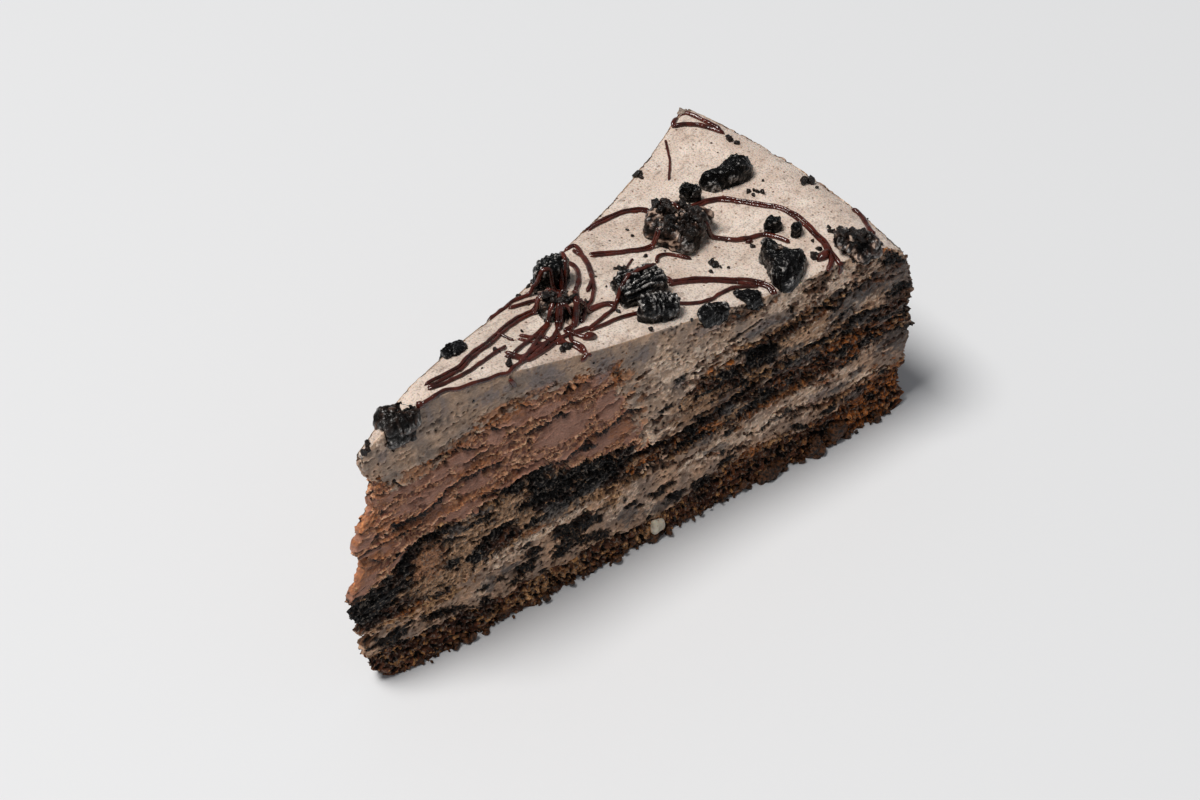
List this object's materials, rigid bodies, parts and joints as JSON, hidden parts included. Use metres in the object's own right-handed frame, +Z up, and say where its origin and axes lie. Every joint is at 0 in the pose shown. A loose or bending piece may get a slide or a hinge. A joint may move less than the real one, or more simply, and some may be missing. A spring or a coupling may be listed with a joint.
{
  "type": "cookies and cream cake slice",
  "caption": "Wedge of layered cake with cream, mousse and dark sponge layers at the cuts, topped with black cookie pieces and drizzled chocolate.",
  "frame": {"origin": "on the floor below the middle of the slice's box", "axes": "+X from the tip to the rim along the middle of the wedge, +Z up, -Y towards the cut that the picture shows"},
  "size_m": [0.1324, 0.0599, 0.0659],
  "materials": {
    "base_crumb": "crumbly",
    "pale_cream": "satin cream",
    "dark_sponge": "crumbly",
    "mousse": "smooth and flaky",
    "grey_cream": "satin cream",
    "brown_sponge": "crumbly",
    "top_cream": "satin cream",
    "cookie": "rough broken biscuit"
  },
  "bodies": {
    "root": {"base_sponge": "base_crumb", "lower_cream": "pale_cream", "middle_sponge": "dark_sponge", "chocolate_mousse": "mousse", "grey_cream": "grey_cream", "upper_sponge": "brown_sponge", "top_cream": "top_cream", "cookie_long": "cookie", "cookie_cluster": "cookie", "cookie_behind_cluster": "cookie", "cookie_ribbed": "cookie", "cookie_ribbed_edge": "cookie", "cookie_slab": "cookie", "cookie_bit_back": "cookie", "cookie_bit_front": "cookie", "cookie_rim_corner": "cookie", "cookie_far_edge": "cookie", "cookie_under_drizzle": "cookie", "cookie_tip": "cookie", "cookie_cut_long": "cookie", "cookie_cut_short": "cookie", "cookie_far_tip": "cookie"}
  },
  "joints": []
}
